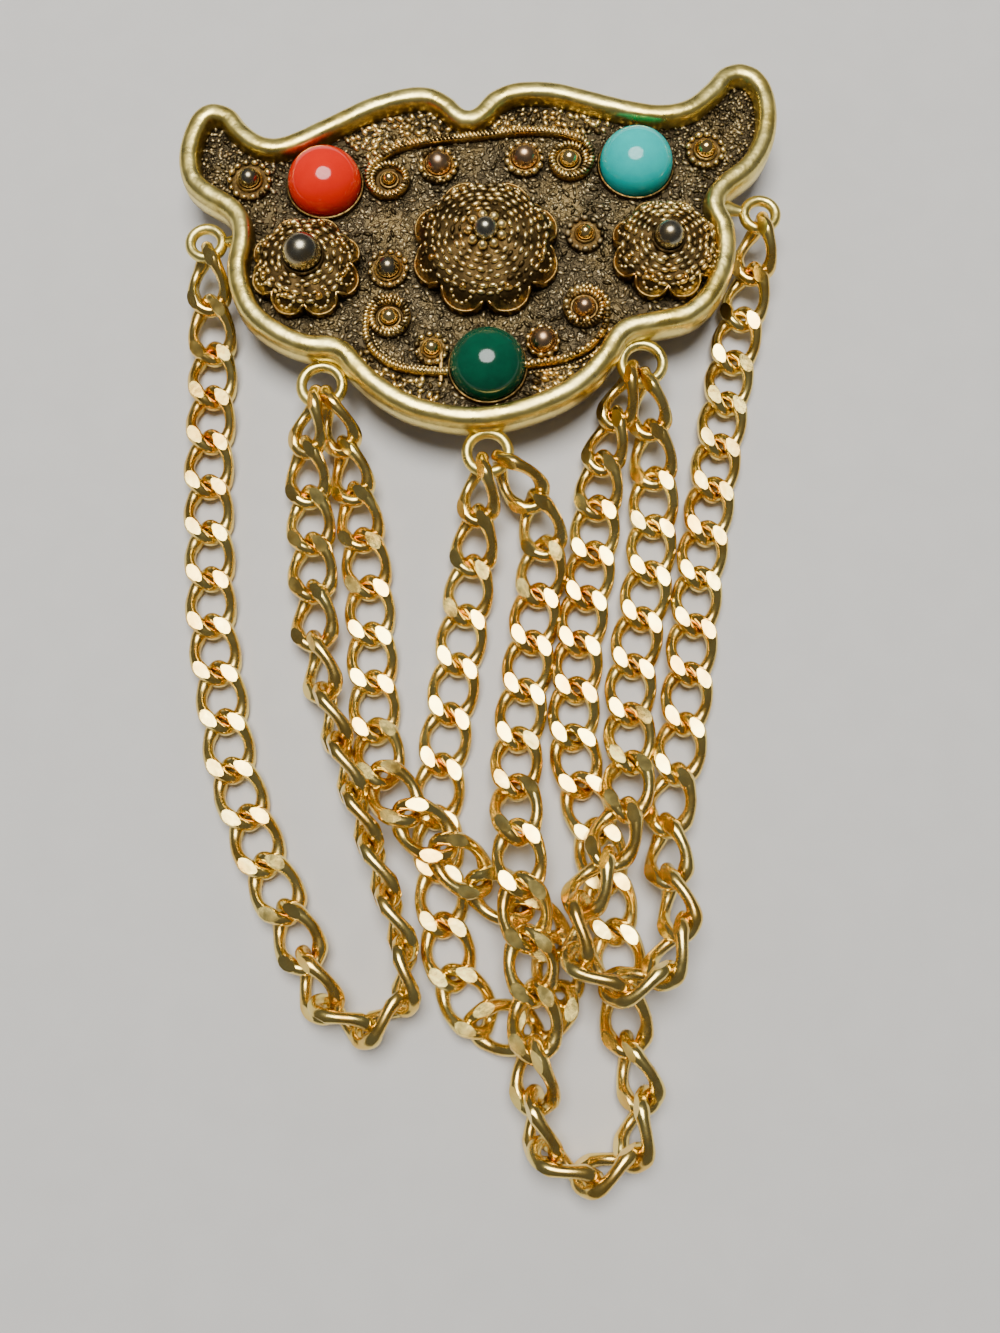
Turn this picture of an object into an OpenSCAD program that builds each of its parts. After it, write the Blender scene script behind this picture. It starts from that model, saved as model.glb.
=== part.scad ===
/* [Plaque] */
// Height of the plaque's back above the surface that the brooch lies on
back_z = 3.2; // [3:0.1:4]
// Thickness of the cast plate under the relief
plate_t = 1.4; // [1:0.1:1.8]
// Width of the rounded rim
rim_w = 1.8; // [1.6:0.1:2]
// Height of the rim from the plaque's back to its crest
rim_h = 3; // [2.6:0.1:3.4]

/* [Stones] */
// Diameter of each round cabochon
stone_d = 7; // [6.4:0.1:7]
// Height of a cabochon from its flat back to its crown
stone_h = 3.4; // [2.6:0.1:3.8]
// Wall of the bezel cup round a cabochon
bezel_wall = 0.45; // [0.35:0.05:0.6]
// Height of the bezel cup above the field
bezel_h = 1.3; // [1:0.1:1.6]

/* [Domes] */
// Radius of the middle dome over its petals
dome_mid_r = 6.8; // [6.4:0.1:7]
// Radius of each side dome over its petals
dome_side_r = 5.2; // [4.8:0.1:5.4]
// Height of the middle dome above the field, without its ball
dome_mid_h = 3.2; // [2.8:0.1:3.6]
// Height of each side dome above the field, without its ball
dome_side_h = 2.6; // [2.2:0.1:3]
// Number of petals round a dome
petals = 8; // [7:1:9]
// Radius of the polished ball on a dome
ball_r = 1.4; // [1.2:0.1:1.5]

/* [Eyes for the chains] */
// Radius of an eye's wire
eye_wire_r = 0.4; // [0.3:0.05:0.4]
// Height of an eye's middle above the plaque's back
eye_up = 0.7; // [0.6:0.1:0.9]

/* [Chains] */
// Diameter of the wire that the links are made of
wire_d = 0.85; // [0.8:0.05:0.85]
// Outer width of a curb link
link_w = 4.6; // [4.5:0.05:4.7]
// Outer length of a curb link
link_l = 6.8; // [6.7:0.05:6.9]
// Half thickness of a link between its two filed facets
facet_h = 1.05; // [1:0.01:1.15]
// Twist of each half of a link
link_twist = 55; // [50:1:60]

/* [Pin] */
// Length of the bar pin over its two blocks
pin_l = 38; // [34:1:40]
// Width of the bar and its blocks
pin_w = 4; // [3:0.5:5]
// Diameter of the pin's stem
stem_d = 1; // [0.8:0.1:1.2]

/* [Hidden] */

gold = "#d9b45a";
copper_gold = "#8a6a3c";

field_z = back_z + plate_t;
// Depth that raised work is sunk into the plate
sink = 0.3;
eye_z = back_z + eye_up;

// Outer edge of the plaque, seen from above, clockwise from the tip of the left horn
edge = [
    [-25.7, 47.6], [-23.7, 47], [-22.3, 45.3], [-20.5, 44], [-18.5, 44.2], [-14.7, 46.2],
    [-11, 48.2], [-7.5, 49.3], [-5, 49.3], [-3, 48.2], [-1.4, 46.9], [0.5, 48.8],
    [3, 49.9], [6.7, 49.9], [10.4, 48.9], [14, 47.9], [17, 47.5], [19.2, 48.1],
    [21.1, 49.8], [22.5, 51.4], [24.4, 52], [26.3, 51.2], [27.5, 49.2], [27.8, 46.2],
    [27.2, 43.2], [25.6, 40.4], [23.1, 38.2], [22.5, 36.9], [23.2, 35], [23.3, 32.3],
    [22.7, 29.6], [21.2, 26.8], [19, 24.9], [16, 24.1], [13.4, 23.4], [12, 21.3],
    [10.1, 19], [7.5, 17.1], [4, 15.6], [0.5, 14.8], [-3, 14.9], [-7, 16],
    [-10.3, 18.1], [-12.3, 20.1], [-13.6, 21.5], [-16.2, 21.8], [-19, 23], [-21.6, 25.1],
    [-23, 27.6], [-23.6, 30.5], [-23.3, 33.8], [-24, 35.7], [-26.6, 37.5], [-28.1, 39.2],
    [-28.7, 41.9], [-28.3, 44.7], [-27.3, 46.8]
];

coral_at = [-14.9, 39.4];
turquoise_at = [14.3, 41.5];
jade_at = [0.4, 20.9];

dome_left_at = [-16.3, 30.6];
dome_mid_at = [0.2, 32.9];
dome_right_at = [16.8, 32.4];

// Middle, outer radius and bead radius of each small rosette: a bead in a granule ring
rosettes = [[-22, 39.8, 2, 0.95], [20.9, 43, 1.8, 0.85], [-8.8, 30.6, 1.9, 1], [9.4, 34.2, 1.8, 0.7], [-4.3, 41.4, 1.8, 1.2],
            [3.8, 42.1, 1.8, 1.2], [-4.7, 22.6, 1.6, 0.7], [5.4, 23.3, 1.6, 1.2]];
rosette_h = 0.9;
ring_r = 0.4;

// Middle and bead radius of each scroll's curled end
scroll_eyes = [[-8.9, 39.9, 0.65], [8, 42, 0.9], [-8.6, 25.7, 0.85], [9.2, 26.7, 0.95]];
scroll_r = 1.9;
scroll_h = 0.6;
ribbon_w = 0.8;
ribbon_h = 1.1;
// Routes of the three raised ribbons that join the curled ends
ribbon_top = [[-9.8, 41.4], [-8, 43.2], [-5, 43.9], [-1, 44.4], [3, 44.9], [6.5, 44.9], [8.8, 43.6]];
ribbon_left = [[-10.3, 26.4], [-10.4, 23.8], [-9.4, 21.8], [-7.6, 20.7], [-5, 20.3], [-3.4, 20.2]];
ribbon_right = [[11, 26.4], [10.6, 24.3], [9.4, 22.6], [7.4, 21.6], [5.4, 21.2], [4.2, 20.9]];

// Eyes for the chains: x, y, radius to the middle of the wire, and the way from the eye to the plaque's edge
eyes = [[-26, 33.9, 1.6, [2.8, 0.2]], [-14.7, 19.5, 2, [-0.4, 2.6]], [0.4, 13, 2, [0, 2.4]],
        [14.5, 21.7, 2, [0.2, 2.6]], [26, 36.9, 1.6, [-3, 0.6]]];

pin_y = 33;

// Middle line of each chain: x, y, height, roll about the line in degrees, and links to the next point
route_outer_left = [
    [-25.8, 32.8, 4.1, 45, 1], [-25.8, 28.3, 2.3, 20, 1], [-25.5, 24, 1.2, 0, 3], [-25.3, 10.8, 1.1, 0, 3],
    [-24.3, -2.4, 1.1, 0, 3], [-21.8, -15.3, 1.1, 0, 2], [-18.6, -23.4, 1.2, 0, 1], [-16.5, -27.3, 1.6, 8, 1],
    [-14.6, -31.2, 2.1, 35, 1], [-12.9, -35, 2.2, 65, 1], [-9.5, -36.9, 2.3, 90, 1], [-6.3, -34.4, 2.3, 95, 1],
    [-6.4, -30.2, 2.3, 100, 3], [-11, -17.4, 2.3, 100, 2], [-13.8, -8.7, 2.3, 110, 1], [-14.8, -3.9, 2.1, 138, 1],
    [-15.2, 0.6, 1.9, 162, 1], [-15.5, 5.1, 1.7, 172, 1], [-15.9, 9.6, 1.7, 160, 1], [-16.2, 14, 2.6, 140, 1],
    [-15.2, 18.3, 4.1, 120, 0]
];
route_inner_left = [
    [-14.1, 18.4, 4.1, 65, 1], [-12.7, 14.1, 2.4, 50, 1], [-11.7, 9.8, 1.9, 33, 1], [-10.9, 5.5, 1.6, 17, 1],
    [-10.3, 1.2, 1.1, 0, 3], [-9.4, -11.9, 1.2, 0, 1], [-8.7, -15.9, 2.3, 0, 1], [-6.4, -19.2, 3.4, 0, 1],
    [-3.2, -22, 3.4, 0, 1], [-0.3, -24.8, 2.5, 0, 1], [3.4, -27, 1.2, 0, 1], [6.2, -30.1, 1.1, 0, 1],
    [6.6, -34.2, 1.1, 0, 1], [3.8, -36.9, 1.1, 0, 1], [-0.2, -36.3, 1.1, 0, 1], [-2.4, -32.7, 1.1, 0, 1],
    [-3.3, -28.4, 1.1, 0, 2], [-4, -19.3, 1.1, 0, 1], [-3.6, -14.8, 1.1, 0, 3], [-1.6, -1.4, 1.1, 0, 1],
    [-1, 3.1, 1.6, -20, 1], [-0.5, 7.5, 2.6, -40, 1], [-0.1, 11.8, 4.1, -60, 0]
];
route_inner_right = [
    [1.5, 12.3, 4.1, 60, 1], [4.7, 8.8, 2.6, 48, 1], [5.6, 4.8, 1.7, 25, 1], [4.9, 0.5, 1.1, 0, 3],
    [3, -12.6, 1.2, 0, 1], [2.8, -16.8, 2.1, 0, 1], [2.9, -20.8, 3.9, 0, 1], [3.3, -25.1, 4.4, 0, 1],
    [3.8, -29.4, 3.8, 0, 1], [4.3, -33.7, 3.4, 0, 1], [4.3, -38, 4.1, 30, 1], [4.3, -42.2, 2.9, 60, 1],
    [5, -46.1, 2.4, 85, 1], [8.5, -48, 2.3, 95, 1], [12.1, -46.3, 2.3, 100, 1], [13.1, -42.2, 2.3, 110, 1],
    [12, -37.8, 2.1, 135, 1], [11.6, -33.4, 1.7, 163, 1], [11.2, -28.8, 1.3, 180, 2], [9.8, -20.6, 1.1, 180, 1],
    [8.5, -16.6, 1.1, 180, 1], [7.8, -12.4, 1.1, 180, 2], [8.5, -4, 1.1, 180, 2], [9.9, 4.4, 1.1, 180, 1],
    [10.3, 8.6, 1.5, 165, 1], [10.8, 12.8, 1.9, 145, 1], [12, 16.8, 2.6, 130, 1], [13.4, 20.6, 4.1, 120, 0]
];
route_outer_right = [
    [14.7, 20.2, 4.1, 60, 1], [15.3, 15.7, 2.4, 50, 1], [15.6, 11.4, 1.7, 25, 1], [15.4, 7, 1.1, 0, 1],
    [15, 2.6, 1.1, 0, 2], [13.2, -6, 1.1, 0, 1], [12.8, -10.4, 1.2, 0, 1], [12.7, -14.7, 2.2, 0, 1],
    [12, -18.9, 3.8, 15, 1], [10.3, -22.9, 4.4, 42, 1], [8, -26.8, 4.8, 72, 1], [7.7, -30.9, 5.2, 98, 1],
    [10.8, -33.2, 5.3, 103, 1], [14.5, -32, 5.3, 106, 1], [16.2, -28.5, 4.9, 109, 1], [15.6, -24.5, 3.5, 120, 1],
    [15.6, -20.1, 2.3, 140, 1], [16.7, -15.7, 1.8, 160, 1], [17.6, -11.2, 1.3, 180, 3], [19.4, 2.1, 1.1, 180, 3],
    [21.7, 14.8, 1.1, 180, 2], [23.3, 23.2, 1.1, 180, 1], [24.3, 27.4, 1.6, 160, 1], [25.3, 31.5, 2.5, 140, 1],
    [26, 35.8, 4.1, 120, 0]
];

// Everything is drawn about the middle of the plaque, and moved so that the whole lies centred on the origin
whole_shift = [0.45, -1.5, 0];

module laid() translate(whole_shift) children();

// A smooth curve through four points, from the second to the third
function spline(p0, p1, p2, p3, t) =
    0.5 * (2 * p1 + (p2 - p0) * t + (2 * p0 - 5 * p1 + 4 * p2 - p3) * t * t
           + (3 * p1 - p0 - 3 * p2 + p3) * t * t * t);

function unit(v) = v / norm(v);

function flat3(p) = [p[0], p[1], p[2]];

function closed_curve(p, steps) = let (n = len(p)) [
    for (i = [0:n - 1])
        for (k = [0:steps - 1])
            spline(p[(i + n - 1) % n], p[i], p[(i + 1) % n], p[(i + 2) % n], k / steps)
];

function open_curve(p, steps) = let (n = len(p)) [
    for (i = [0:n - 2])
        for (k = [0:steps - (i < n - 2 ? 1 : 0)])
            spline(p[max(i - 1, 0)], p[i], p[i + 1], p[min(i + 2, n - 1)], k / steps)
];

// Direction at a right angle to a closed flat curve, outwards where the curve runs clockwise
function outward(p, i) = let (n = len(p), d = unit(p[(i + 1) % n] - p[(i + n - 1) % n])) [-d[1], d[0]];

outline = closed_curve(edge, 2);

// The plaque's outline moved inwards
function inset(d) = [for (i = [0:len(outline) - 1]) outline[i] - outward(outline, i) * d];

// Steps of the rounded rim: inset of its two sides, foot and crest as shares of the rim's height
plate_inset = 0.1;
rim_steps = [[0, 0.15, 0.62], [0.2, 0.5, 0.82], [0.45, 0.75, 1]];

module rim() {
    for (s = rim_steps) translate([0, 0, back_z + s[1] * rim_h]) difference() {
        linear_extrude((s[2] - s[1]) * rim_h) polygon(inset(s[0]));
        translate([0, 0, -1]) linear_extrude(rim_h + 2) polygon(inset(rim_w - s[0]));
    }
}

module dome(r, h) {
    petal_r = r * sin(180 / petals) * 1.02;
    petal_at = r - petal_r;
    for (i = [0:petals - 1]) rotate((i + 0.5) * 360 / petals + 90) translate([petal_at, 0, 0]) {
        cylinder(r = petal_r * 0.8, h = 1);
        translate([0, 0, 0.9]) intersection() {
            sphere(r = petal_r);
            translate([0, 0, petal_r / 2 - 0.3]) cube([3 * petal_r, 3 * petal_r, petal_r + 0.6], center = true);
        }
    }
    rotate_extrude($fn = 64) polygon([
        [0, -0.4], [0.72 * r, -0.4], [0.76 * r, 1.3], [0.66 * r, 0.62 * h], [0.5 * r, 0.84 * h],
        [0.3 * r, h], [0, h]
    ]);
    translate([0, 0, h + 0.25 * ball_r]) sphere(r = ball_r);
    for (i = [0:petals - 1]) rotate((i + 0.2) * 360 / petals + 90)
        translate([ball_r + 0.55, 0, h - 0.1]) sphere(r = 0.5);
}

module rosette(rosette_r, bead_r) {
    translate([0, 0, -sink]) cylinder(r = rosette_r, h = sink + rosette_h * 0.6);
    translate([0, 0, rosette_h * 0.6]) rotate_extrude() translate([rosette_r - ring_r, 0]) circle(r = ring_r);
    translate([0, 0, rosette_h * 0.8]) sphere(r = bead_r);
}

module scroll_eye(bead_r) {
    translate([0, 0, -sink]) cylinder(r = scroll_r - ring_r / 2, h = scroll_h + sink);
    translate([0, 0, scroll_h]) rotate_extrude() translate([scroll_r - ring_r, 0]) circle(r = ring_r + 0.05);
    translate([0, 0, scroll_h + 0.2]) sphere(r = bead_r);
}

module ribbon(line) {
    c = open_curve(line, 3);
    n = len(c);
    side = [for (i = [0:n - 1]) let (d = unit(c[min(i + 1, n - 1)] - c[max(i - 1, 0)])) [-d[1], d[0]] * ribbon_w / 2];
    translate([0, 0, -sink]) linear_extrude(ribbon_h + sink)
        polygon(concat([for (i = [0:n - 1]) c[i] + side[i]], [for (i = [n - 1:-1:0]) c[i] - side[i]]));
}

module bezel() {
    cup_d = stone_d + 0.2;
    translate([0, 0, -sink]) difference() {
        cylinder(d = cup_d + 2 * bezel_wall, h = bezel_h + sink);
        translate([0, 0, sink]) cylinder(d = cup_d, h = bezel_h + 1);
    }
}

module eye(radius, way) {
    rotate_extrude() translate([radius, 0]) circle(r = eye_wire_r);
    stem_w = 1.4;
    stem_t = 0.8;
    rotate(atan2(way[1], way[0])) translate([radius, -stem_w / 2, -stem_t / 2])
        cube([norm(way) - radius + 0.6, stem_w, stem_t]);
}

module plaque() color(copper_gold) laid() {
    translate([0, 0, back_z]) linear_extrude(plate_t) polygon(inset(plate_inset));
    rim();
    translate([0, 0, field_z]) {
        for (at = [coral_at, turquoise_at, jade_at]) translate(at) bezel();
        translate(dome_left_at) dome(dome_side_r, dome_side_h);
        translate(dome_mid_at) dome(dome_mid_r, dome_mid_h);
        translate(dome_right_at) dome(dome_side_r, dome_side_h);
        for (at = rosettes) translate([at[0], at[1]]) rosette(at[2], at[3]);
        for (at = scroll_eyes) translate([at[0], at[1]]) scroll_eye(at[2]);
        ribbon(ribbon_top);
        ribbon(ribbon_left);
        ribbon(ribbon_right);
    }
    for (e = eyes) translate([e[0], e[1], eye_z]) eye(e[2], e[3]);
}

// A round cabochon: a low girdle under an elliptic crown, with its flat back on the field
module cabochon(at) {
    r = stone_d / 2;
    girdle = 0.7;
    laid() translate([at[0], at[1], field_z]) rotate_extrude($fn = 72) polygon(concat(
        [[0, 0], [r, 0]],
        [for (a = [0:6:84]) [r * cos(a), girdle + (stone_h - girdle) * sin(a)]],
        [[0, stone_h]]
    ));
}

module coral_cabochon() color("#ff4a1c") cabochon(coral_at);

module turquoise_cabochon() color("#45c0c4") cabochon(turquoise_at);

module jade_cabochon() color("#0d7a5c") cabochon(jade_at);

// The bar pin under the back: a bar with a hinge block, a catch block and the stem between them, in one piece
module bar_pin() color(gold) laid() {
    block = 4;
    bar_t = 0.8;
    translate([0, pin_y, back_z - bar_t / 2]) cube([pin_l, pin_w, bar_t], center = true);
    for (side = [-1, 1]) translate([side * (pin_l - block) / 2, pin_y, back_z / 2])
        cube([block, pin_w, back_z], center = true);
    translate([-pin_l / 2 + 1, pin_y, (back_z - bar_t) / 2]) rotate([0, 90, 0]) cylinder(d = stem_d, h = pin_l - 2);
}

wire_r = wire_d / 2;
link_a = link_l / 2 - wire_r;
link_b = link_w / 2 - wire_r;
link_steps = 10;
wire_sides = 5;

// Middle line of one curb link at angle t: a loop whose two halves twist opposite ways
function loop_at(t) = let (twist = -link_twist * cos(t))
    [link_a * cos(t), link_b * sin(t) * cos(twist), link_b * sin(t) * sin(twist)];

// Points of one curb link about its own middle, with the facets filed flat
link_points = [for (i = [0:link_steps - 1])
    let (t = i * 360 / link_steps, p = loop_at(t), along = unit(loop_at(t + 2) - loop_at(t - 2)),
         out = unit(p - along * (p * along)), up = cross(along, out))
        for (k = [0:wire_sides - 1]) let (a = (k + 0.5) * 360 / wire_sides,
            q = p + wire_r * (cos(a) * out + sin(a) * up))
            [q[0], q[1], max(-facet_h, min(facet_h, q[2]))]
];

function link_faces(first) = [for (i = [0:link_steps - 1]) for (k = [0:wire_sides - 1])
    let (j = (i + 1) % link_steps, m = (k + 1) % wire_sides, n = wire_sides) each [
        [first + i * n + k, first + j * n + m, first + i * n + m],
        [first + i * n + k, first + j * n + k, first + j * n + m]
    ]
];

// Joints of a chain: each stretch of its route is shared out evenly between its links
function joints(route) = concat(
    [for (i = [0:len(route) - 2], k = [0:route[i][4] - 1])
        [for (axis = [0:3]) route[i][axis] + (route[i + 1][axis] - route[i][axis]) * k / route[i][4]]],
    [[for (axis = [0:3]) route[len(route) - 1][axis]]]
);

// A point of a link set between two joints of its chain
function placed(q, a, b) = let (
    u = unit(flat3(b - a)), level = unit(cross([0, 0, 1], u)), up = cross(u, level),
    roll = (a[3] + b[3]) / 2, side = level * cos(roll) + up * sin(roll), top = up * cos(roll) - level * sin(roll),
    middle = flat3(a + b) / 2
) middle + q[0] * u + q[1] * side + q[2] * top;

module chain(route) {
    j = joints(route);
    count = len(j) - 1;
    per_link = link_steps * wire_sides;
    color(gold) laid() polyhedron(
        points = [for (i = [0:count - 1]) for (q = link_points) placed(q, j[i], j[i + 1])],
        faces = [for (i = [0:count - 1]) each link_faces(i * per_link)],
        convexity = 10
    );
}

module chain_outer_left() chain(route_outer_left);

module chain_inner_left() chain(route_inner_left);

module chain_inner_right() chain(route_inner_right);

module chain_outer_right() chain(route_outer_right);

plaque();
coral_cabochon();
turquoise_cabochon();
jade_cabochon();
bar_pin();
chain_outer_left();
chain_inner_left();
chain_inner_right();
chain_outer_right();
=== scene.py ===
import math

import bmesh
import bpy
import numpy as np
from mathutils import Matrix, Vector, geometry, noise


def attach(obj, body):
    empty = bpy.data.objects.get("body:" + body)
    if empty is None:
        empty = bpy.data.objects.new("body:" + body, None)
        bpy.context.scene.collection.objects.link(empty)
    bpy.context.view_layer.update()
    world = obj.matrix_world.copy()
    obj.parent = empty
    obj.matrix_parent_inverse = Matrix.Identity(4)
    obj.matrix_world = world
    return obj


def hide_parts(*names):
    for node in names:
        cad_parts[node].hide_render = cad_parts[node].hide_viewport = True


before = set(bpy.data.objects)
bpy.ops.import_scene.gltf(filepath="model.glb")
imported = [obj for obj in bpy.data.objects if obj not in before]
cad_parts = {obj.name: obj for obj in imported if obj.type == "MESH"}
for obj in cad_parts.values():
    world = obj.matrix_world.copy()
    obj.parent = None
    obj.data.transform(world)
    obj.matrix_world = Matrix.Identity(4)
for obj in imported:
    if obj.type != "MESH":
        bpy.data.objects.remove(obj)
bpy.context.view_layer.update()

scene = bpy.context.scene
mm = 0.001
laidShift = Vector((0.45, -1.5, 0))     # the drawing's origin is the plaque's own, the frame's is the whole's
toFrame = Matrix.Scale(mm, 4) @ Matrix.Translation(laidShift)
backZ = 3.2     # back of the plaque above the table, mm
fieldZ = 4.6    # ground of the relief
sunk = 0.3      # how deep the reliefs stand in the ground


# Curves and mesh makers, all in millimetres about the plaque's drawing origin
def turns(count, offset=0.0):
    return [2 * math.pi * (k + offset) / count for k in range(count)]


def polar(x, y, radius, angle):
    return x + radius * math.cos(angle), y + radius * math.sin(angle)


def splineAt(p0, p1, p2, p3, t):
    return 0.5 * (2 * p1 + (p2 - p0) * t + (2 * p0 - 5 * p1 + 4 * p2 - p3) * t * t
                  + (3 * p1 - p0 - 3 * p2 + p3) * t ** 3)


def closedCurve(points, steps):
    p = [Vector((x, y, 0)) for x, y in points]
    n = len(p)
    return [splineAt(p[i - 1], p[i], p[(i + 1) % n], p[(i + 2) % n], k / steps)
            for i in range(n) for k in range(steps)]


def openCurve(points, steps, z):
    p = [Vector((x, y, z)) for x, y in points]
    last = len(p) - 1
    curve = [splineAt(p[max(i - 1, 0)], p[i], p[i + 1], p[min(i + 2, last)], k / steps)
             for i in range(last) for k in range(steps)]
    return curve + [p[last]]


# Points on a circle, or on an arc of it that includes both ends
def ringPoints(x, y, z, radius, count, start=0.0, sweep=360.0):
    gaps = count if abs(sweep) >= 360 else count - 1
    return [Vector((*polar(x, y, radius, math.radians(start + sweep * k / gaps)), z)) for k in range(count)]


# A scroll's curled end: points round a middle, from one radius and angle to another
def coilPoints(x, y, fromRadius, toRadius, fromAngle, toAngle):
    return [polar(x, y, fromRadius + (toRadius - fromRadius) * t,
                  math.radians(fromAngle + (toAngle - fromAngle) * t)) for t in [k / 11 for k in range(12)]]


# Each point of a line with the way it runs there
def alongLine(points, closed=False):
    last = len(points) - 1
    for i, point in enumerate(points):
        ahead = points[(i + 1) % len(points)] if closed or i < last else point
        behind = points[i - 1] if closed or i > 0 else point
        yield point, (ahead - behind).normalized()


def bridgeRings(bm, rings, closed=False, capEnds=True):
    sides = len(rings[0])
    for i in range(len(rings) if closed else len(rings) - 1):
        here, there = rings[i], rings[(i + 1) % len(rings)]
        for k in range(sides):
            bm.faces.new((here[k], here[(k + 1) % sides], there[(k + 1) % sides], there[k]))
    if capEnds and not closed:
        bm.faces.new(list(reversed(rings[0])))
        bm.faces.new(rings[-1])


# A wire along points, round or squashed, with its radius given once or for each point
def addWire(bm, points, radius, sides, closed=False, tall=1.0):
    radii = radius if isinstance(radius, list) else [radius] * len(points)
    rings = []
    for (point, along), wire in zip(alongLine(points, closed), radii):
        side = along.cross(Vector((0, 0, 1))).normalized()
        top = side.cross(along)
        rings.append([bm.verts.new(point + (side * math.cos(a) + top * math.sin(a) * tall) * wire)
                      for a in turns(sides)])
    bridgeRings(bm, rings, closed)


# A strip with its own section (side, height) swept along points
def addStrip(bm, points, section):
    rings = []
    for point, along in alongLine(points):
        side = Vector((along.y, -along.x, 0)).normalized()
        rings.append([bm.verts.new(point + side * s + Vector((0, 0, h))) for s, h in section])
    bridgeRings(bm, rings)


# A turned form from a profile of (radius, height), closed at its poles
def addTurned(bm, profile, x, y, z, sides):
    rings = []
    for radius, height in profile:
        if radius < 1e-6:
            rings.append([bm.verts.new((x, y, z + height))])
        else:
            rings.append([bm.verts.new((*polar(x, y, radius, a), z + height)) for a in turns(sides)])
    for here, there in zip(rings, rings[1:]):
        for k in range(sides):
            m = (k + 1) % sides
            bm.faces.new((here if len(here) == 1 else [here[k], here[m]])
                         + (there if len(there) == 1 else [there[m], there[k]]))


def addBall(bm, x, y, z, radius, rows, sides):
    profile = [(radius * math.sin(math.pi * k / rows) if 0 < k < rows else 0,
                -radius * math.cos(math.pi * k / rows)) for k in range(rows + 1)]
    addTurned(bm, profile, x, y, z, sides)


def addBlock(bm, low, high, bevel):
    made = bmesh.ops.create_cube(bm, size=1)["verts"]
    for v in made:
        v.co = Vector([low[i] + (v.co[i] + 0.5) * (high[i] - low[i]) for i in range(3)])
    edges = list(dict.fromkeys(e for v in made for e in v.link_edges))
    bmesh.ops.bevel(bm, geom=edges, offset=bevel, segments=3, profile=0.6, affect="EDGES")


def newObject(name, data):
    made = bpy.data.objects.new(name, data)
    scene.collection.objects.link(made)
    return made


def plainObject(name, points, edges=(), faces=()):
    mesh = bpy.data.meshes.new(name)
    mesh.from_pydata(points, edges, faces)
    return newObject(name, mesh)


def meshOf(name, bm):
    mesh = bpy.data.meshes.new(name)
    bm.to_mesh(mesh)
    bm.free()
    return mesh


def settle(piece, node="plaque"):
    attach(piece, "root")
    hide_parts(node)
    print("made", piece.name, len(piece.data.polygons), "faces")


# How worn each point of a mesh is, and where it is painted with shade: 0 in the hollows and in painted shade, 1 on the
# tops
def writeWearAndShade(mesh, wearAndShadeValues):
    mesh.attributes.new("wear", "FLOAT", "POINT").data.foreach_set("value", wearAndShadeValues)


# Turns a bmesh into a finished piece, sharp where its faces meet at more than the angle
def finishPiece(name, bm, finishes, wear=None, angle=60, node="plaque"):
    bmesh.ops.remove_doubles(bm, verts=bm.verts, dist=0.0005)
    bmesh.ops.recalc_face_normals(bm, faces=bm.faces)
    wearAndShadeValues = [min(1, max(0, wear(v.co))) if wear else 1.0 for v in bm.verts]
    mesh = meshOf(name, bm)
    writeWearAndShade(mesh, wearAndShadeValues)
    mesh.transform(toFrame)
    for finish in finishes:
        mesh.materials.append(finish)
    mesh.shade_smooth()
    mesh.set_sharp_from_angle(angle=math.radians(angle))
    settle(newObject(name, mesh), node)


# A node with its settings, and its inputs linked or set: gives the socket that comes out of it
def addNode(tree, kind, links=None, output=0, **settings):
    made = tree.nodes.new(kind)
    for label, value in settings.items():
        setattr(made, label, value)
    for label, source in (links or {}).items():
        if isinstance(source, bpy.types.NodeSocket):
            tree.links.new(source, made.inputs[label])
        else:
            made.inputs[label].default_value = source
    return made.outputs[output]


def mathNode(tree, operation, *values):
    return addNode(tree, "ShaderNodeMath", dict(enumerate(values)), operation=operation)


def turnNode(tree, angle):
    euler = addNode(tree, "ShaderNodeCombineXYZ", {"Z": angle})
    return addNode(tree, "FunctionNodeEulerToRotation", {0: euler})


# An empty Geometry Nodes tree with named inputs, and the sockets that they come from
def newTree(name, inputs):
    tree = bpy.data.node_groups.new(name, "GeometryNodeTree")
    for label, kind in {"Geometry": "Geometry", **inputs, "Finish": "Material"}.items():
        tree.interface.new_socket(label, in_out="INPUT", socket_type="NodeSocket" + kind)
    tree.interface.new_socket("Geometry", in_out="OUTPUT", socket_type="NodeSocketGeometry")
    tree.nodes.new("NodeGroupInput")
    tree.nodes.new("NodeGroupOutput")
    return tree, tree.nodes["Group Input"].outputs


# Puts a shape on every point, and makes the whole plain faces with one finish
def closeTree(tree, points, shape, rotation, finish, scale=(1, 1, 1)):
    placed = addNode(tree, "GeometryNodeInstanceOnPoints",
                     {"Points": points, "Instance": shape, "Rotation": rotation, "Scale": scale})
    solid = addNode(tree, "GeometryNodeRealizeInstances", {"Geometry": placed})
    coloured = addNode(tree, "GeometryNodeSetMaterial", {"Geometry": solid, "Material": finish})
    tree.links.new(coloured, tree.nodes["Group Output"].inputs[0])
    return tree


# A smooth ball, stretched to a size that varies from grain to grain
def grainShape(tree, size, spread, detail):
    ball = addNode(tree, "GeometryNodeMeshIcoSphere", {"Radius": 0.5, "Subdivisions": detail})
    axes = addNode(tree, "ShaderNodeCombineXYZ", dict(zip("XYZ", size)))
    scale = addNode(tree, "ShaderNodeVectorMath", {0: axes, "Scale": spread}, operation="SCALE")
    return addNode(tree, "GeometryNodeSetShadeSmooth", {"Geometry": ball}), scale


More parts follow.
